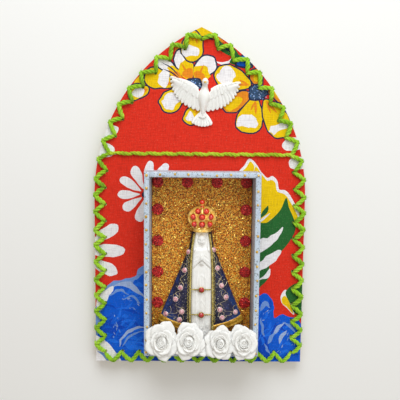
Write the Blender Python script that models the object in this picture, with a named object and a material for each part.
"""Fabric chapel shrine, a folk wall ornament.

A board cut to a pointed arch is faced with printed cloth and whip-stitched round its edge with yarn. A shallow
box niche on the cloth holds a flat-backed figure with roses at its foot, and a dove sits on the pediment.
Lengths are in metres. +Z is up, the front faces -Y, and the origin is the middle of the flat back that lies
against the wall. Heights in the names below are measured from the board's bottom edge unless they say otherwise.
"""

import math

import bmesh
import bpy
import numpy as np
from mathutils import Matrix, Vector

# Clearance left between pieces that touch
SEAT_GAP = 0.0003

# Board, cloth and lining
BOARD_WIDTH = 0.125
BOARD_HEIGHT = 0.1993
SPRING_HEIGHT = 0.101
BOARD_THICKNESS = 0.003
CLOTH_THICKNESS = 0.0006
LINING_THICKNESS = 0.0032
LINING_INSET = 0.0088
MOUNT_HEIGHT = 0.095
ARC_STEPS = 18

# Stitching
BOTTOM_STITCHES = 11
LOWER_SIDE_STITCHES = 12
UPPER_SIDE_STITCHES = 8
CROSS_STITCHES = 11
CROSS_ABOVE_NICHE = 0.0097
HOLE_INSET = 0.0054
HOLE_DIAMETER = 0.0036
HOLE_SIDES = 6
YARN_DIAMETER = 0.0019
YARN_AT_EDGE = 0.0012
YARN_PINCHED = 0.0009
STRAND_SPACING = 0.0019
STRAND_TURN = math.radians(45)
EDGE_SPACING = 0.0023
CROSS_END_STEP = 0.0042
CROSS_BOW = 0.002
CHANNEL_WIDTH = 0.0068

# Niche box
NICHE_WIDTH = 0.065
NICHE_HEIGHT = 0.1052
NICHE_DEPTH = 0.0208
NICHE_BOTTOM = 0.0116
NICHE_SHIFT = 0.0012
WALL_THICKNESS = 0.003
NICHE_BACK_THICKNESS = 0.0025
CARD_THICKNESS = 0.0012
DOT_DIAMETER = 0.0065
DOT_THICKNESS = 0.0006
DOT_INSET = 0.0036
DOT_FIRST_STEP = 0.016
DOT_PITCH_UP = 0.0186
DOTS_ACROSS = 4
DOTS_UP = 4
DOT_SIDES = 12

# Figure: heights above its datum, half widths and depths in front of its flat back
FIGURE_STAND = 0.0013
CROWN_SEAT = 0.0656
GOWN_HALF_WIDTHS = ((0.0, 0.006), (0.022, 0.0062), (0.046, 0.0058), (0.056, 0.0051), (0.0653, 0.0038))
GOWN_DEPTHS = ((0.0, 0.0088), (0.03, 0.0082), (0.056, 0.0066), (0.0653, 0.0054))
GOWN_STATIONS = (-FIGURE_STAND, 0.022, 0.046, 0.056, 0.0653)
GOWN_SECTION_STEPS = 10
HEAD_WIDTH = 0.006
HEAD_DEPTH = 0.0056
HEAD_HEIGHT = 0.0078
HEAD_FORWARD = 0.0048
HEAD_BELOW_CROWN = 0.0009
SLEEVE_PROUD = 0.0008
SLEEVE_POINT = 0.0497
SLEEVE_DROP = 0.006
SLEEVE_TOP = 0.0555
HANDS_WIDTH = 0.0026
HANDS_HEIGHT = 0.0066
HANDS_PROUD = 0.0014
MANTLE_BACK_THICKNESS = 0.0018
MANTLE_SIDE_ROOM = 0.0047
MANTLE_HEM_HEIGHT = 0.013
MANTLE_SHOULDER_HEIGHT = 0.056
MANTLE_SHOULDER_HALF = 0.0072
MANTLE_TOP_HALF = 0.0058
MANTLE_DEPTHS = ((0.01, 0.0074), (0.056, 0.0056), (0.0653, 0.0052))
MANTLE_EDGE = 0.0012
HEM_CORNER = 0.0128
HEM_DROP = 0.0068
HEM_PROUD = 0.0005
MANTLE_STATIONS = (0.0, 0.05, 0.058, 0.35, 0.6, 0.82, 1.0)
MANTLE_SIDE_STEPS = 6
TRIM_DIAMETER = 0.0012
TRIM_TOP = 0.0648
GOWN_CORD_DIAMETER = 0.0006
CORD_SPAN = 0.8
GOWN_CORD_HEIGHTS = (("upper", 0.0324), ("lower", 0.0176))
GOWN_GEM_DIAMETER = 0.0031
MANTLE_GEM_DIAMETER = 0.0029
GEM_HEIGHT = 0.0011
GEM_TABLE = 0.6
GEM_SIDES = 8

# Mantle stones: share of the way out to the mantle's side, and height above the datum. The right side is higher
GEM_SLANT = 0.0007
MANTLE_GEMS = (
    (0.9, 0.054),
    (0.765, 0.0434),
    (0.719, 0.0331),
    (0.758, 0.0262),
    (0.498, 0.0191),
    (0.88, 0.017),
    (0.513, 0.0143),
)

# Crown: heights above its seat and radii of its outline
CROWN_OUTLINE = (
    (0.0, 0.0046),
    (0.0006, 0.0051),
    (0.0022, 0.0051),
    (0.0026, 0.0047),
    (0.0075, 0.0076),
    (0.0112, 0.0068),
    (0.0136, 0.0042),
    (0.0148, 0.0013),
    (0.0166, 0.001),
)
CROWN_RIBS = 10
CROWN_RIB_DEPTH = 0.0005
CROWN_FLATTEN = 0.62
CROWN_FORWARD = 0.0053
CROWN_BEAD_DIAMETER = 0.0031
CROWN_BEAD_ROWS = ((0.005, (-36, 0, 36)), (0.0093, (-36, 0, 36)), (0.0123, (-24, 24)))
CROWN_TOP_BEAD = 0.0173

# Roses on the lower rim: places and outer radii as shares of half the niche's inner width, and turns in degrees
ROSE_PLACES = (-0.749, -0.258, 0.329, 0.776)
ROSE_RADII = (0.244, 0.24, 0.21, 0.223)
ROSE_TURNS = (10, 65, 25, 120)
ROSE_SINK = 0.05
ROSE_TILT = math.radians(12)
ROSE_BASE = 0.85
ROSE_PETALS = 5
ROSE_SPOKES_PER_PETAL = 4
ROSE_NOTCH = 0.1
ROSE_LAP = 0.0006
PETAL_DEPTH = 0.0046
PETAL_FLOOR = 0.002
BUD_DEPTH = 0.0052
BUD_SHARE = 0.46
BUD_SPOKES = 16

# Dove: places right of and above the middle of its breast
DOVE_ACROSS = 0.0015
DOVE_ABOVE_CROSS = 0.0293
DOVE_LEAN = math.radians(-4)
WING_TIP = (0.0206, 0.0133)
WING_SHOULDER = (0.0040, 0.0079)
WING_ROOT = (0.0019, -0.0046)
WING_INNER = 0.0006
WING_LEAD_PULL = (0.0092, 0.0132)
WING_TRAIL_PULL = (0.017, 0.0)
WING_THICKNESS = 0.0016
WING_FEATHERS = 7
FEATHER_NOTCH = 0.0011
COVERT_SHARE = 0.62
COVERT_THICKNESS = 0.0026
DOVE_BODY = (
    (-0.007, 0.0013, 0.0022),
    (-0.003, 0.003, 0.0042),
    (0.001, 0.0042, 0.0056),
    (0.0048, 0.0038, 0.0056),
    (0.008, 0.0022, 0.0046),
    (0.0108, 0.0018, 0.0042),
)
DOVE_BODY_STEPS = 8
DOVE_HEAD_DIAMETER = 0.0046
DOVE_HEAD_HEIGHT = 0.0118
DOVE_HEAD_FORWARD = 0.0034
BEAK_LENGTH = 0.0018
BEAK_DIAMETER = 0.0016
TAIL_ROOT = 0.0058
TAIL_LENGTH = 0.0133
TAIL_HALF_WIDTH = 0.0059
TAIL_NECK = 0.0011
TAIL_FEATHERS = 5
TAIL_THICKNESS = 0.0018
FORM_STEP = 0.0002

# Depths of the stacked layers, from the wall forwards
LINING_FRONT = -LINING_THICKNESS
BOARD_BACK = LINING_FRONT - SEAT_GAP
BOARD_FRONT = BOARD_BACK - BOARD_THICKNESS
CLOTH_BACK = BOARD_FRONT - SEAT_GAP
CLOTH_FRONT = CLOTH_BACK - CLOTH_THICKNESS
NICHE_REAR = CLOTH_FRONT - SEAT_GAP
NICHE_RIM = NICHE_REAR - NICHE_DEPTH
PANEL_FRONT = NICHE_REAR - NICHE_BACK_THICKNESS
CARD_BACK = PANEL_FRONT - SEAT_GAP
CARD_FRONT = CARD_BACK - CARD_THICKNESS
FIGURE_BACK = CARD_FRONT - SEAT_GAP

# Places on the cloth and inside the niche
CROSS_HEIGHT = NICHE_BOTTOM + NICHE_HEIGHT + CROSS_ABOVE_NICHE
DOVE_HEIGHT = CROSS_HEIGHT + DOVE_ABOVE_CROSS
INNER_HALF_WIDTH = NICHE_WIDTH / 2 - WALL_THICKNESS
FLOOR_HEIGHT = NICHE_BOTTOM + WALL_THICKNESS
CEILING_HEIGHT = NICHE_BOTTOM + NICHE_HEIGHT - WALL_THICKNESS
FIGURE_DATUM = FLOOR_HEIGHT + SEAT_GAP + FIGURE_STAND
MANTLE_HALF_WIDTHS = (
    (MANTLE_HEM_HEIGHT, INNER_HALF_WIDTH - MANTLE_SIDE_ROOM),
    (MANTLE_SHOULDER_HEIGHT, MANTLE_SHOULDER_HALF),
    (CROWN_SEAT - SEAT_GAP, MANTLE_TOP_HALF),
)

# Arch: both arcs have their centres on the springing line, each past the middle
HALF_WIDTH = BOARD_WIDTH / 2
ARC_OFFSET = ((BOARD_HEIGHT - SPRING_HEIGHT) ** 2 - HALF_WIDTH**2) / (2 * HALF_WIDTH)
ARC_RADIUS = HALF_WIDTH + ARC_OFFSET


def clear_scene():
    for obj in list(bpy.data.objects):
        bpy.data.objects.remove(obj, do_unlink=True)


def look(name, red, green, blue, roughness, metallic=0.0):
    """A material whose colour is written in screen values from 0 to 255."""
    made = bpy.data.materials.new(name)
    made.use_nodes = True
    shader = made.node_tree.nodes["Principled BSDF"]
    colour = [(value / 255) ** 2.2 for value in (red, green, blue)]
    shader.inputs["Base Color"].default_value = (*colour, 1.0)
    shader.inputs["Roughness"].default_value = roughness
    shader.inputs["Metallic"].default_value = metallic
    return made


def place(obj, material):
    """Puts an object under the shrine's root and gives it its material."""
    bpy.context.scene.collection.objects.link(obj)
    obj.parent = bpy.data.objects["shrine"]
    obj.data.materials.append(material)
    return obj


def solid(name, shape, material, smooth_below=None):
    """A named object from a bmesh, with its faces pointing out."""
    bmesh.ops.recalc_face_normals(shape, faces=shape.faces[:])
    mesh = bpy.data.meshes.new(name)
    shape.to_mesh(mesh)
    shape.free()
    if smooth_below:
        mesh.shade_smooth()
        mesh.set_sharp_from_angle(angle=math.radians(smooth_below))
    return place(bpy.data.objects.new(name, mesh), material)


def plate(name, outline, back, front, material, matrix=None):
    """A flat sheet with this (x, z) outline, from the depth back forwards to the depth front."""
    shape = bmesh.new()
    base = shape.faces.new([shape.verts.new((x, back, z)) for x, z in outline])
    grown = bmesh.ops.extrude_face_region(shape, geom=[base])
    moved = [item for item in grown["geom"] if isinstance(item, bmesh.types.BMVert)]
    bmesh.ops.translate(shape, vec=(0, front - back, 0), verts=moved)
    if matrix:
        bmesh.ops.transform(shape, matrix=matrix, verts=shape.verts[:])
    return solid(name, shape, material)


def box(name, left, right, back, front, bottom, top, material):
    outline = ((left, bottom), (right, bottom), (right, top), (left, top))
    return plate(name, outline, back, front, material)


def loft(name, rings, material, smooth_below=50, matrix=None):
    """A closed skin over rings of equally many points, capped at both ends. A ring of one point is a tip."""
    shape = bmesh.new()
    loops = [[shape.verts.new(point) for point in ring] for ring in rings]
    for first, second in zip(loops, loops[1:]):
        count = max(len(first), len(second))
        for index in range(count):
            after = (index + 1) % count
            corners = [first[index % len(first)], first[after % len(first)]]
            corners += [second[after % len(second)], second[index % len(second)]]
            shape.faces.new(list(dict.fromkeys(corners)))
    for end in (loops[0], loops[-1]):
        if len(end) > 2:
            shape.faces.new(end)
    if matrix:
        bmesh.ops.transform(shape, matrix=matrix, verts=shape.verts[:])
    return solid(name, shape, material, smooth_below)


def ball(name, centre, width, depth, height, material, segments=6, rings=4):
    shape = bmesh.new()
    scale = Matrix.Diagonal((width / 2, depth / 2, height / 2, 1.0))
    bmesh.ops.create_uvsphere(
        shape, u_segments=segments, v_segments=rings, radius=1.0, matrix=Matrix.Translation(centre) @ scale
    )
    return solid(name, shape, material, 60)


def union(target, forms):
    """Joins helper forms into the target, which stays one closed body."""
    for form in forms:
        joined = target.modifiers.new(form.name, "BOOLEAN")
        joined.operation = "UNION"
        joined.solver = "EXACT"
        joined.object = form
        form.hide_render = True
        form.display_type = "WIRE"
    return target


def tube(name, route, material):
    """One unbroken tube through the route's (point, diameter) pairs."""
    curve = bpy.data.curves.new(name, "CURVE")
    curve.dimensions = "3D"
    curve.bevel_depth = 0.5
    curve.bevel_resolution = 1
    curve.use_fill_caps = True
    spline = curve.splines.new("POLY")
    spline.points.add(len(route) - 1)
    for knot, (point, diameter) in zip(spline.points, route):
        knot.co = (*point, 1.0)
        knot.radius = diameter
    return place(bpy.data.objects.new(name, curve), material)


def along(table, height):
    """The value at this height in rows of (height, value)."""
    heights, values = zip(*table)
    return float(np.interp(height, heights, values))


def bend(start, pull, end, steps):
    """Points of a curve from start to end that leans towards pull, both ends included."""
    points = []
    for step in range(steps + 1):
        share = step / steps
        weights = ((1 - share) ** 2, 2 * share * (1 - share), share**2)
        points.append(tuple(sum(w * p[axis] for w, p in zip(weights, (start, pull, end))) for axis in (0, 1)))
    return points


def arch_outline(inset):
    """The pointed arch drawn in by inset, from the bottom left corner round to the left springing."""
    radius = ARC_RADIUS - inset
    top_angle = math.acos(ARC_OFFSET / radius)
    angles = [top_angle * step / ARC_STEPS for step in range(ARC_STEPS + 1)]
    right = [(radius * math.cos(a) - ARC_OFFSET, SPRING_HEIGHT + radius * math.sin(a)) for a in angles]
    left = [(-x, z) for x, z in reversed(right[:-1])]
    half = HALF_WIDTH - inset
    return [(-half, inset), (half, inset), *right, *left]


def side_station(distance):
    """Point and outward direction on the right stitch line, at this distance up from its bottom corner."""
    straight = SPRING_HEIGHT - HOLE_INSET
    if distance <= straight:
        return Vector((HALF_WIDTH - HOLE_INSET, HOLE_INSET + distance)), Vector((1.0, 0.0))
    radius = ARC_RADIUS - HOLE_INSET
    angle = (distance - straight) / radius
    outward = Vector((math.cos(angle), math.sin(angle)))
    return Vector((-ARC_OFFSET, SPRING_HEIGHT)) + radius * outward, outward


def side_distances():
    """How far up the right stitch line each hole lies, from the bottom corner to the point of the arch."""
    radius = ARC_RADIUS - HOLE_INSET
    straight = SPRING_HEIGHT - HOLE_INSET
    above = max(CROSS_HEIGHT - SPRING_HEIGHT, 0.0)
    cross = min(CROSS_HEIGHT - HOLE_INSET, straight) + radius * math.asin(above / radius)
    top = straight + radius * math.acos(ARC_OFFSET / radius)
    lower = [cross * step / LOWER_SIDE_STITCHES for step in range(LOWER_SIDE_STITCHES)]
    rise = (top - cross) / UPPER_SIDE_STITCHES
    upper = [cross + rise * step for step in range(UPPER_SIDE_STITCHES + 1)]
    return lower + upper


def stitch_line():
    """Holes in order round the board, and for each stitch its place on the edge and the way out there.

    The round starts at the bottom left corner and runs along the bottom, up the right side and down the left.
    """
    half = HALF_WIDTH - HOLE_INSET
    pitch = 2 * half / BOTTOM_STITCHES
    holes = [Vector((-half + pitch * step, HOLE_INSET)) for step in range(BOTTOM_STITCHES)]
    down = Vector((0.0, -1.0))
    edges = [(hole + Vector((pitch / 2, -HOLE_INSET)), down) for hole in holes]
    distances = side_distances()
    right = [side_station(distance)[0] for distance in distances]
    mirror = Matrix(((-1.0, 0.0), (0.0, 1.0)))
    right_edges = []
    for low, high in zip(distances, distances[1:]):
        point, outward = side_station((low + high) / 2)
        right_edges.append((point + HOLE_INSET * outward, outward))
    holes += right + [mirror @ hole for hole in reversed(right[1:-1])]
    edges += right_edges + [(mirror @ point, mirror @ outward) for point, outward in reversed(right_edges)]
    return holes, edges


def cross_holes():
    """Holes of the backstitches, evenly across between the two side stitches at that height."""
    reach = side_station(side_distances()[LOWER_SIDE_STITCHES])[0].x - CROSS_END_STEP
    pitch = 2 * reach / CROSS_STITCHES
    return [Vector((-reach + pitch * step, CROSS_HEIGHT)) for step in range(CROSS_STITCHES + 1)]


def punch(sheets, holes, material):
    """Cuts the stitch holes through each sheet with one set of pins."""
    shape = bmesh.new()
    length = BOARD_THICKNESS + CLOTH_THICKNESS + LINING_THICKNESS
    middle = (BOARD_BACK + CLOTH_FRONT) / 2
    for hole in holes:
        turn = Matrix.Translation((hole.x, middle, hole.y)) @ Matrix.Rotation(math.radians(90), 4, "X")
        bmesh.ops.create_cone(
            shape,
            cap_ends=True,
            segments=HOLE_SIDES,
            radius1=HOLE_DIAMETER / 2,
            radius2=HOLE_DIAMETER / 2,
            depth=length,
            matrix=turn,
        )
    pins = solid("stitch_hole_pins", shape, material)
    pins.hide_render = True
    pins.display_type = "WIRE"
    for sheet in sheets:
        cut = sheet.modifiers.new("stitch_holes", "BOOLEAN")
        cut.operation = "DIFFERENCE"
        cut.solver = "EXACT"
        cut.object = pins


def at_depth(flat, depth):
    return Vector((flat.x, depth, flat.y))


def whip_stitch(holes, edges, forward):
    """Route of one pass of the whip stitch, as (point, diameter) pairs.

    Each stitch comes up through a hole, slants across the front to the edge, wraps round it and slants across
    the back to the next hole. The return pass runs the other way round in the other half of each hole and
    crosses behind the first, one strand further back.
    """
    count = len(holes)
    side = 1 if forward else -1
    front = CLOTH_FRONT - SEAT_GAP - YARN_DIAMETER / 2
    rear = BOARD_BACK + SEAT_GAP + YARN_PINCHED / 2
    if not forward:
        rear += YARN_PINCHED + SEAT_GAP
    wrap = SEAT_GAP + YARN_AT_EDGE / 2
    shoulder = YARN_AT_EDGE / 2 + SEAT_GAP / 2
    route = []
    order = range(count) if forward else range(count - 1, -1, -1)
    for number in order:
        here, there = (number, (number + 1) % count) if forward else ((number + 1) % count, number)
        edge, outward = edges[number]
        run = Vector((-outward.y, outward.x)) * EDGE_SPACING / 2
        ends = []
        for hole in (here, there):
            heading = (holes[(hole + 1) % count] - holes[hole - 1]).normalized()
            aside = math.cos(STRAND_TURN) * heading + math.sin(STRAND_TURN) * Vector((heading.y, -heading.x))
            ends.append(holes[hole] + side * aside * STRAND_SPACING / 2)
        turn_point = edge - side * run
        slant = (turn_point - ends[0]).normalized()
        back_slant = (turn_point - ends[1]).normalized()
        inside = turn_point - YARN_AT_EDGE * outward
        outside = turn_point + wrap * outward
        route.append((at_depth(ends[0], CLOTH_FRONT), YARN_PINCHED))
        route.append((at_depth(ends[0] + slant * YARN_PINCHED, front), YARN_DIAMETER * 0.85))
        route.append((at_depth(inside, front), YARN_DIAMETER))
        route.append((at_depth(outside, CLOTH_FRONT - shoulder), YARN_AT_EDGE))
        route.append((at_depth(outside, BOARD_BACK + shoulder), YARN_AT_EDGE))
        route.append((at_depth(turn_point - YARN_PINCHED * outward, rear), YARN_PINCHED))
        if number != order[-1]:
            route.append((at_depth(ends[1] + back_slant * YARN_PINCHED / 2, rear), YARN_PINCHED))
    return route


def backstitch(holes):
    """Route of the backstitches: forward two holes behind the board, back one on the front.

    Behind the board every other run bows up past the hole between, and the rest bow down.
    """
    front = CLOTH_FRONT - SEAT_GAP - YARN_DIAMETER / 2
    rear = BOARD_BACK + SEAT_GAP + YARN_PINCHED / 2
    aside = Vector((STRAND_SPACING / 2, 0.0))
    lead = Vector((YARN_PINCHED, 0.0))
    route = []
    for number in range(CROSS_STITCHES):
        rises = holes[number + 1] - aside
        falls = holes[number] + aside
        route.append((at_depth(rises, CLOTH_FRONT), YARN_PINCHED))
        route.append((at_depth(rises - lead, front), YARN_DIAMETER * 0.8))
        route.append((at_depth((rises + falls) / 2, front), YARN_DIAMETER))
        route.append((at_depth(falls + lead, front), YARN_DIAMETER * 0.8))
        route.append((at_depth(falls, CLOTH_FRONT), YARN_PINCHED))
        if number < CROSS_STITCHES - 1:
            bow = Vector((0.0, CROSS_BOW if number % 2 else -CROSS_BOW))
            route.append((at_depth(falls, rear), YARN_PINCHED))
            route.append((at_depth(holes[number + 1] + bow, rear), YARN_PINCHED))
            route.append((at_depth(holes[number + 2] - aside, rear), YARN_PINCHED))
    return route


def sampled(route, pieces=6):
    """Points along a route, with their radii and their distances from its start."""
    rows = []
    travelled = 0.0
    for (first, thin), (second, thick) in zip(route, route[1:]):
        for step in range(pieces):
            share = step / pieces
            rows.append((*first.lerp(second, share), thin + (thick - thin) * share, travelled))
            travelled += (second - first).length / pieces
    return np.array(rows)


def least_gap(first, second=None):
    """The least clear space between two tubes, or between a tube and itself away from its own bends."""
    one = sampled(first)
    other = one if second is None else sampled(second)
    least = math.inf
    for row in one:
        clear = np.linalg.norm(other[:, :3] - row[:3], axis=1) - (other[:, 3] + row[3]) / 2
        if second is None:
            clear = clear[np.abs(other[:, 4] - row[4]) > 3 * YARN_DIAMETER]
        least = min(least, float(clear.min()))
    return least


def build_board():
    """The board, its cloth facing and the lining behind, with the yarn sewn through them."""
    outline = arch_outline(0.0)
    board = plate("backing_board", outline, BOARD_BACK, BOARD_FRONT, look("board", 178, 150, 112, 0.85))
    cloth = plate("fabric_cover", outline, CLOTH_BACK, CLOTH_FRONT, look("calico", 210, 45, 35, 0.8))
    felt = look("lining", 226, 220, 208, 0.95)
    lining = plate("back_lining", arch_outline(LINING_INSET), 0.0, LINING_FRONT, felt)
    channel_depth = SEAT_GAP + YARN_PINCHED
    channel = box(
        "lining_channel",
        -HALF_WIDTH,
        HALF_WIDTH,
        LINING_FRONT + channel_depth,
        LINING_FRONT - channel_depth,
        CROSS_HEIGHT - CHANNEL_WIDTH / 2,
        CROSS_HEIGHT + CHANNEL_WIDTH / 2,
        lining.data.materials[0],
    )
    channel.hide_render = True
    channel.display_type = "WIRE"
    cut = lining.modifiers.new("yarn_channel", "BOOLEAN")
    cut.operation = "DIFFERENCE"
    cut.solver = "EXACT"
    cut.object = channel

    holes, edges = stitch_line()
    crossing = cross_holes()
    punch((board, cloth), holes + crossing, board.data.materials[0])
    first = whip_stitch(holes, edges, True)
    back_again = whip_stitch(holes, edges, False)
    across = backstitch(crossing)
    tube("edge_yarn_first", first, look("lime_yarn", 135, 200, 30, 0.9))
    tube("edge_yarn_return", back_again, look("lime_yarn_return", 128, 194, 28, 0.9))
    tube("cross_yarn", across, look("lime_yarn_cross", 140, 202, 36, 0.9))
    millimetres = 1000
    print("least gap, first pass to itself:", round(least_gap(first) * millimetres, 2), "mm")
    print("least gap, return pass to itself:", round(least_gap(back_again) * millimetres, 2), "mm")
    print("least gap, backstitches to themselves:", round(least_gap(across) * millimetres, 2), "mm")
    print("least gap, first pass to return pass:", round(least_gap(first, back_again) * millimetres, 2), "mm")
    print("least gap, edge yarn to backstitches:", round(least_gap(first, across) * millimetres, 2), "mm")


def build_niche():
    """The box niche, its glitter card and the dots round it."""
    left = NICHE_SHIFT - NICHE_WIDTH / 2
    right = NICHE_SHIFT + NICHE_WIDTH / 2
    top = NICHE_BOTTOM + NICHE_HEIGHT
    inner_left = NICHE_SHIFT - INNER_HALF_WIDTH
    inner_right = NICHE_SHIFT + INNER_HALF_WIDTH
    paint = look("niche_paint", 190, 208, 232, 0.5)
    depths = (NICHE_REAR, NICHE_RIM)
    box("niche_wall_left", left, inner_left, *depths, NICHE_BOTTOM, top, paint)
    box("niche_wall_right", inner_right, right, *depths, NICHE_BOTTOM, top, paint)
    rail = (inner_left + SEAT_GAP, inner_right - SEAT_GAP, *depths)
    box("niche_wall_top", *rail, CEILING_HEIGHT, top, paint)
    box("niche_wall_bottom", *rail, NICHE_BOTTOM, FLOOR_HEIGHT, paint)
    sheet = (inner_left + SEAT_GAP, inner_right - SEAT_GAP)
    heights = (FLOOR_HEIGHT + SEAT_GAP, CEILING_HEIGHT - SEAT_GAP)
    box("niche_back", *sheet, NICHE_REAR, PANEL_FRONT, *heights, look("niche_panel", 196, 168, 128, 0.8))
    box("glitter_card", *sheet, CARD_BACK, CARD_FRONT, *heights, look("gold_glitter", 150, 105, 30, 0.35, 0.7))

    red = look("red_glitter", 150, 15, 20, 0.35, 0.4)
    reach = INNER_HALF_WIDTH - DOT_INSET
    top_row = CEILING_HEIGHT - DOT_INSET
    places = [(NICHE_SHIFT + reach * (2 * n / (DOTS_ACROSS - 1) - 1), top_row) for n in range(DOTS_ACROSS)]
    for side in (-1, 1):
        first = top_row - DOT_FIRST_STEP
        places += [(NICHE_SHIFT + side * reach, first - DOT_PITCH_UP * n) for n in range(DOTS_UP)]
    depth = CARD_FRONT - SEAT_GAP
    for number, (x, z) in enumerate(places, start=1):
        angles = [2 * math.pi * step / DOT_SIDES for step in range(DOT_SIDES)]
        outline = [(x + DOT_DIAMETER / 2 * math.cos(a), z + DOT_DIAMETER / 2 * math.sin(a)) for a in angles]
        plate(f"red_glitter_dot_{number:02d}", outline, depth, depth - DOT_THICKNESS, red)


def figure_point(across, forward, height):
    """A point of the figure: across from its axis, forward of its flat back, and above its datum."""
    return Vector((NICHE_SHIFT + across, FIGURE_BACK - forward, FIGURE_DATUM + height))


def gown_front(across, height):
    """How far the gown's front stands forward of the figure's flat back."""
    share = min(abs(across) / along(GOWN_HALF_WIDTHS, height), 1.0)
    rear = MANTLE_BACK_THICKNESS + SEAT_GAP
    side = rear + (along(GOWN_DEPTHS, height) - rear) * 0.55
    return side + (along(GOWN_DEPTHS, height) - side) * math.sqrt(1 - share**3)


def build_gown():
    """The white gown with its sleeves, praying hands and head, cast as one."""
    white = look("gown", 238, 238, 240, 0.45)
    rear = MANTLE_BACK_THICKNESS + SEAT_GAP
    rings = []
    for height in GOWN_STATIONS:
        half = along(GOWN_HALF_WIDTHS, height)
        sweep = [half * math.cos(math.pi * step / GOWN_SECTION_STEPS) for step in range(GOWN_SECTION_STEPS + 1)]
        ring = [figure_point(x, gown_front(x, height), height) for x in sweep]
        rings.append([figure_point(half, rear, height), *ring, figure_point(-half, rear, height)])
    gown = loft("figure_gown", rings, white)

    base = rear + SEAT_GAP
    sleeve_half = along(GOWN_HALF_WIDTHS, SLEEVE_POINT) * 0.97
    shoulder_half = along(GOWN_HALF_WIDTHS, SLEEVE_TOP) * 0.9
    outline = [(sleeve_half, SLEEVE_POINT - SLEEVE_DROP), (shoulder_half, SLEEVE_TOP)]
    outline += [(-shoulder_half, SLEEVE_TOP), (-sleeve_half, SLEEVE_POINT - SLEEVE_DROP), (0.0, SLEEVE_POINT)]
    raised = []
    for share in (0.0, 1.0):
        ring = []
        for x, height in outline:
            forward = gown_front(0.8 * x, height) + SLEEVE_PROUD
            ring.append(figure_point(x, base + (forward - base) * share, height))
        raised.append(ring)
    sleeves = loft("figure_sleeves_form", raised, white)

    centre = gown_front(0.0, SLEEVE_POINT)
    palms = []
    for share, spread in ((0.0, 1.0), (0.5, 0.9), (1.0, 0.25)):
        height = SLEEVE_POINT - 0.2 * HANDS_HEIGHT + share * HANDS_HEIGHT
        half = HANDS_WIDTH / 2 * spread
        front = centre + SLEEVE_PROUD + HANDS_PROUD * (0.6 + 0.4 * spread)
        flank = front - HANDS_PROUD / 2
        corners = ((half, base), (half, flank), (0.0, front), (-half, flank), (-half, base))
        palms.append([figure_point(x, forward, height) for x, forward in corners])
    hands = loft("figure_hands_form", palms, white)

    head_top = CROWN_SEAT - HEAD_BELOW_CROWN
    centre_point = figure_point(0.0, HEAD_FORWARD, head_top - HEAD_HEIGHT / 2)
    head = ball("figure_head_form", centre_point, HEAD_WIDTH, HEAD_DEPTH, HEAD_HEIGHT, white, 12, 8)
    union(gown, (sleeves, hands, head))


def channel_half(height):
    """Half the width of the opening in the mantle's front, which the gown fills."""
    return along(GOWN_HALF_WIDTHS, height) + SEAT_GAP


def mantle_hem(share):
    """Height of the hem at this share of the way out to the mantle's side."""
    return HEM_CORNER - HEM_DROP * (1 - min(share, 1.0) ** 1.5)


def mantle_front(across, height):
    """How far the mantle stands forward of the figure's flat back."""
    share = min(abs(across) / along(MANTLE_HALF_WIDTHS, height), 1.0)
    return MANTLE_EDGE + (along(MANTLE_DEPTHS, height) - MANTLE_EDGE) * math.sqrt(1 - share**2)


def build_mantle():
    """The mantle: a flat-backed cape round the gown, open down the front, with a raised hem."""
    navy = look("mantle", 45, 45, 95, 0.35)
    top = CROWN_SEAT - SEAT_GAP
    rings = []
    for station in MANTLE_STATIONS:
        proud = HEM_PROUD if station < MANTLE_STATIONS[2] else 0.0
        middle_height = mantle_hem(0.0) + station * (top - mantle_hem(0.0))
        opening = channel_half(middle_height)
        inner = opening / along(MANTLE_HALF_WIDTHS, middle_height)
        half_ring = []
        for step in range(MANTLE_SIDE_STEPS + 1):
            angle = math.acos(inner) * step / MANTLE_SIDE_STEPS
            share = math.cos(angle)
            height = mantle_hem(share) + station * (top - mantle_hem(share))
            across = share * along(MANTLE_HALF_WIDTHS, height)
            if step == MANTLE_SIDE_STEPS:
                across = opening
            if step == 0:
                half_ring.append((across + proud, 0.0, height))
            half_ring.append((across + proud * share, mantle_front(across, height) + proud, height))
        half_ring.append((opening, MANTLE_BACK_THICKNESS, half_ring[-1][2]))
        mirrored = [(-x, forward, height) for x, forward, height in reversed(half_ring)]
        rings.append([figure_point(*point) for point in half_ring + mirrored])
    loft("figure_mantle", rings, navy)


def trim_centre(height):
    """Across and forward of the braid's middle where it lies on the mantle's front edge."""
    across = channel_half(height) + TRIM_DIAMETER / 2
    return across, mantle_front(across, height) + SEAT_GAP + TRIM_DIAMETER / 2


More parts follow.
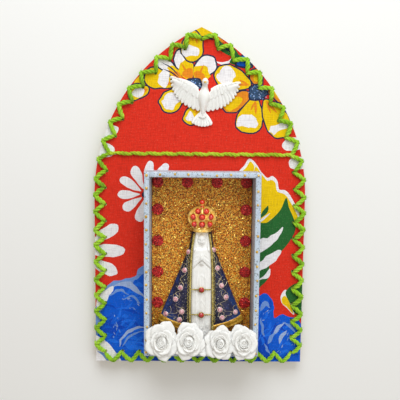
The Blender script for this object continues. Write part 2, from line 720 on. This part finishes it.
def build_trims():
    """Gold braids down the mantle's front edges, cords across the gown, and the stones."""
    gold = look("gold_braid", 185, 160, 70, 0.4, 0.8)
    bottom = mantle_hem(0.2) + TRIM_DIAMETER
    heights = np.linspace(bottom, TRIM_TOP - SEAT_GAP, 9)
    for side, sign in (("left", -1), ("right", 1)):
        route = []
        for height in heights:
            across, forward = trim_centre(height)
            route.append((figure_point(sign * across, forward + HEM_PROUD, height), TRIM_DIAMETER))
        tube(f"mantle_trim_{side}", route, gold)

    ruby = look("red_stone", 165, 15, 20, 0.12)
    for name, height in GOWN_CORD_HEIGHTS:
        reach = trim_centre(height)[0] - TRIM_DIAMETER / 2 - SEAT_GAP
        route = []
        for across in np.linspace(-reach, reach, 9):
            forward = gown_front(CORD_SPAN * across, height) + 2 * SEAT_GAP + GOWN_CORD_DIAMETER / 2
            route.append((figure_point(across, forward, height), GOWN_CORD_DIAMETER))
        tube(f"gown_cord_{name}", route, gold)
        seat = gown_front(0.0, height) + 3 * SEAT_GAP + GOWN_CORD_DIAMETER
        place = figure_point(0.0, seat, height)
        build_gem(f"gown_gem_{name}", place, Vector((0, -1, 0)), GOWN_GEM_DIAMETER, ruby)

    rose_quartz = look("pink_stone", 225, 160, 165, 0.12)
    number = 0
    for share, middle_height in MANTLE_GEMS:
        for sign in (-1, 1):
            number += 1
            height = middle_height + sign * GEM_SLANT
            across = share * along(MANTLE_HALF_WIDTHS, height)
            seat, normal = mantle_seat(sign * across, height)
            build_gem(f"mantle_gem_{number:02d}", seat, normal, MANTLE_GEM_DIAMETER, rose_quartz)


def mantle_seat(across, height):
    """A place just clear of the mantle's front, and the direction that the surface faces there."""

    def surface(x, z):
        return figure_point(x, mantle_front(x, z), z)

    small = 0.0002
    side = surface(across + small, height) - surface(across - small, height)
    rise = surface(across, height + small) - surface(across, height - small)
    normal = side.cross(rise).normalized()
    return surface(across, height) + SEAT_GAP * normal, normal


def build_gem(name, seat, normal, diameter, material):
    """A flat-backed faceted stone: a girdle, a sloping crown and a flat table."""
    turn = normal.to_track_quat("Z", "Y").to_matrix().to_4x4()
    rings = []
    for share, height in ((1.0, 0.0), (1.0, 0.3), (GEM_TABLE, 1.0)):
        angles = [2 * math.pi * step / GEM_SIDES for step in range(GEM_SIDES)]
        radius = diameter / 2 * share
        rings.append([(radius * math.cos(a), radius * math.sin(a), GEM_HEIGHT * height) for a in angles])
    loft(name, rings, material, None, Matrix.Translation(seat) @ turn)


def crown_radius(height, angle):
    """Radius of the crown's bulb, ribbed all round above its band."""
    radius = along(CROWN_OUTLINE, height)
    band = CROWN_OUTLINE[3][0]
    stem = CROWN_OUTLINE[-2][0]
    if band < height < stem:
        radius += CROWN_RIB_DEPTH * math.cos(CROWN_RIBS * angle)
    return radius


def crown_point(height, angle, beyond=0.0):
    """A point on the crown. An angle of 0 faces the front."""
    radius = crown_radius(height, angle) + beyond
    forward = CROWN_FORWARD + CROWN_FLATTEN * radius * math.cos(angle)
    return figure_point(radius * math.sin(angle), forward, CROWN_SEAT + height)


def build_crown():
    """The gold crown: a band, a ribbed bulb and beads along the front ribs, with one bead on top."""
    gold = look("crown", 225, 170, 60, 0.35, 0.8)
    steps = 3 * CROWN_RIBS
    angles = [2 * math.pi * step / steps for step in range(steps)]
    rings = [[crown_point(height, angle) for angle in angles] for height, _ in CROWN_OUTLINE]
    crown = loft("crown", rings, gold)
    size = CROWN_BEAD_DIAMETER
    beads = []
    for height, turns in CROWN_BEAD_ROWS:
        for degrees in turns:
            centre = crown_point(height, math.radians(degrees))
            beads.append(ball(f"crown_bead_form_{len(beads) + 1}", centre, size, size, size, gold))
    top = figure_point(0.0, CROWN_FORWARD, CROWN_SEAT + CROWN_TOP_BEAD)
    beads.append(ball("crown_bead_form_top", top, size, size, size, gold, 8, 6))
    union(crown, beads)


def rose_matrix(across, radius):
    """Turns a rose that faces +Z to face the viewer, leaning back against the lower rim's top edge."""
    lean = Matrix.Rotation(math.radians(90) - ROSE_TILT, 4, "X")
    height = FLOOR_HEIGHT + radius * (ROSE_BASE - ROSE_SINK)
    forward = SEAT_GAP / math.cos(ROSE_TILT) - (height - FLOOR_HEIGHT) * math.tan(ROSE_TILT)
    return Matrix.Translation((NICHE_SHIFT + across, NICHE_RIM - forward, height)) @ lean


def build_rose(number, across, radius, turn):
    """One rose: a whorl of lapped outer petals, and a spiral bud seated in it."""
    white = look(f"rose_{number}", 240, 240, 242, 0.6)
    matrix = rose_matrix(across, radius)
    spokes = ROSE_PETALS * ROSE_SPOKES_PER_PETAL
    turned = math.radians(turn)

    def petal_ring(share, level, notch, lap):
        ring = []
        for spoke in range(spokes):
            place_in_petal = (spoke % ROSE_SPOKES_PER_PETAL) / ROSE_SPOKES_PER_PETAL
            reach = radius * share * (1 - notch * (1 - math.sin(math.pi * (place_in_petal * 0.75 + 0.125))))
            angle = turned + 2 * math.pi * spoke / spokes
            ring.append((reach * math.cos(angle), reach * math.sin(angle), level + lap * place_in_petal))
        return ring

    petals = [
        petal_ring(ROSE_BASE, 0.0, 0.0, 0.0),
        petal_ring(1.0, PETAL_DEPTH * 0.5, ROSE_NOTCH, ROSE_LAP),
        petal_ring(0.98, PETAL_DEPTH * 0.72, ROSE_NOTCH, ROSE_LAP),
        petal_ring(0.78, PETAL_DEPTH, ROSE_NOTCH / 2, ROSE_LAP),
        petal_ring(1.2 * BUD_SHARE, PETAL_FLOOR, 0.0, 0.0),
    ]
    loft(f"rose_{number}_petals", petals, white, 40, matrix)

    def bud_ring(share, level, twist):
        ring = []
        for spoke in range(BUD_SPOKES):
            wound = spoke / BUD_SPOKES
            reach = radius * BUD_SHARE * share * (1 - twist * wound)
            angle = turned + 2 * math.pi * wound
            lap = ROSE_LAP * wound * (twist > 0)
            ring.append((reach * math.cos(angle), reach * math.sin(angle), level + lap))
        return ring

    seat = PETAL_FLOOR + SEAT_GAP
    bud = [
        bud_ring(0.8, seat, 0.0),
        bud_ring(1.0, seat + BUD_DEPTH * 0.4, 0.0),
        bud_ring(0.9, seat + BUD_DEPTH * 0.75, 0.12),
        bud_ring(0.68, seat + BUD_DEPTH * 0.55, 0.12),
        bud_ring(0.5, seat + BUD_DEPTH * 0.9, 0.2),
        bud_ring(0.26, seat + BUD_DEPTH * 0.7, 0.2),
        [(0.0, 0.0, seat + BUD_DEPTH)],
    ]
    loft(f"rose_{number}_bud", bud, white, 40, matrix)


def scalloped(points, notch, inward):
    """An edge of feathers: a round tip at each of the points and a notch between neighbours."""
    edge = []
    for first, second in zip(points, points[1:]):
        span = Vector(second) - Vector(first)
        valley = Vector(first) + span * 0.5 + inward(span) * notch
        edge += [tuple(Vector(first) + span * 0.18), tuple(valley), tuple(Vector(first) + span * 0.82)]
    return edge


def wing_outline(share=1.0):
    """One wing, as an outline on the right: the leading edge, then the feathers back to the root."""
    joint = Vector((WING_SHOULDER[0], 0.0))

    def shrunk(point):
        return tuple(joint + (Vector(point) - joint) * share)

    lead = bend(WING_SHOULDER, WING_LEAD_PULL, WING_TIP, 4)
    trail = bend(WING_TIP, WING_TRAIL_PULL, WING_ROOT, WING_FEATHERS)
    feathers = scalloped(trail, FEATHER_NOTCH, lambda span: Vector((span.y, -span.x)).normalized())
    root = [(WING_INNER / share, WING_ROOT[1] / 2), (WING_INNER / share, WING_SHOULDER[1] / 2)]
    return [shrunk(point) for point in (*lead, *feathers)] + root


def tail_outline():
    """The tail fan: a narrow neck that spreads to a scalloped end."""
    tips = []
    for step in range(TAIL_FEATHERS + 1):
        share = 2 * step / TAIL_FEATHERS - 1
        tips.append((TAIL_HALF_WIDTH * share, -TAIL_LENGTH + (TAIL_LENGTH - TAIL_ROOT) * 0.22 * share**2))
    ends = scalloped(tips, FEATHER_NOTCH / 2, lambda span: Vector((-span.y, span.x)).normalized())
    neck = [(TAIL_NECK, -TAIL_ROOT), (TAIL_NECK, 0.0), (-TAIL_NECK, 0.0), (-TAIL_NECK, -TAIL_ROOT)]
    return ends + neck


def build_dove():
    """The cast dove: a round breast and head, spread wings in two layers of feathers and a fanned tail."""
    white = look("dove", 240, 240, 238, 0.5)
    seat = Matrix.Translation((DOVE_ACROSS, CLOTH_FRONT - SEAT_GAP, DOVE_HEIGHT))
    matrix = seat @ Matrix.Rotation(-DOVE_LEAN, 4, "Y")
    rings = []
    for height, half, depth in DOVE_BODY:
        angles = [math.pi * step / DOVE_BODY_STEPS for step in range(DOVE_BODY_STEPS + 1)]
        proud = depth - FORM_STEP
        rings.append([(half * math.cos(a), -FORM_STEP - proud * math.sin(a), height) for a in angles])
    dove = loft("dove", rings, white, 50, matrix)
    forms = []
    flip = Matrix.Diagonal((-1.0, 1.0, 1.0, 1.0))
    for side, turn in (("right", matrix), ("left", matrix @ flip)):
        forms.append(plate(f"dove_wing_form_{side}", wing_outline(), 0.0, -WING_THICKNESS, white, turn))
        coverts = wing_outline(COVERT_SHARE)
        forms.append(plate(f"dove_covert_form_{side}", coverts, -FORM_STEP * 3, -COVERT_THICKNESS, white, turn))
    forms.append(plate("dove_tail_form", tail_outline(), -FORM_STEP * 2, -TAIL_THICKNESS, white, matrix))
    size = DOVE_HEAD_DIAMETER
    head = matrix @ Vector((0.0, -DOVE_HEAD_FORWARD, DOVE_HEAD_HEIGHT))
    forms.append(ball("dove_head_form", head, size, size, size, white, 10, 8))
    beak_root = DOVE_HEAD_FORWARD + size / 2 * 0.8
    beak = []
    for share, forward in ((1.0, beak_root), (0.1, beak_root + BEAK_LENGTH)):
        half = BEAK_DIAMETER / 2 * share
        drop = DOVE_HEAD_HEIGHT - (forward - beak_root) * 0.6
        square = ((half, half), (-half, half), (-half, -half), (half, -half))
        beak.append([(x, -forward, drop + z) for x, z in square])
    forms.append(loft("dove_beak_form", beak, white, None, matrix))
    union(dove, forms)


def main():
    clear_scene()
    root = bpy.data.objects.new("shrine", None)
    bpy.context.scene.collection.objects.link(root)
    root.location = (0.0, 0.0, -MOUNT_HEIGHT)
    build_board()
    build_niche()
    build_gown()
    build_mantle()
    build_trims()
    build_crown()
    for number, (share, size, turn) in enumerate(zip(ROSE_PLACES, ROSE_RADII, ROSE_TURNS), start=1):
        build_rose(number, share * INNER_HALF_WIDTH, size * INNER_HALF_WIDTH, turn)
    build_dove()


main()
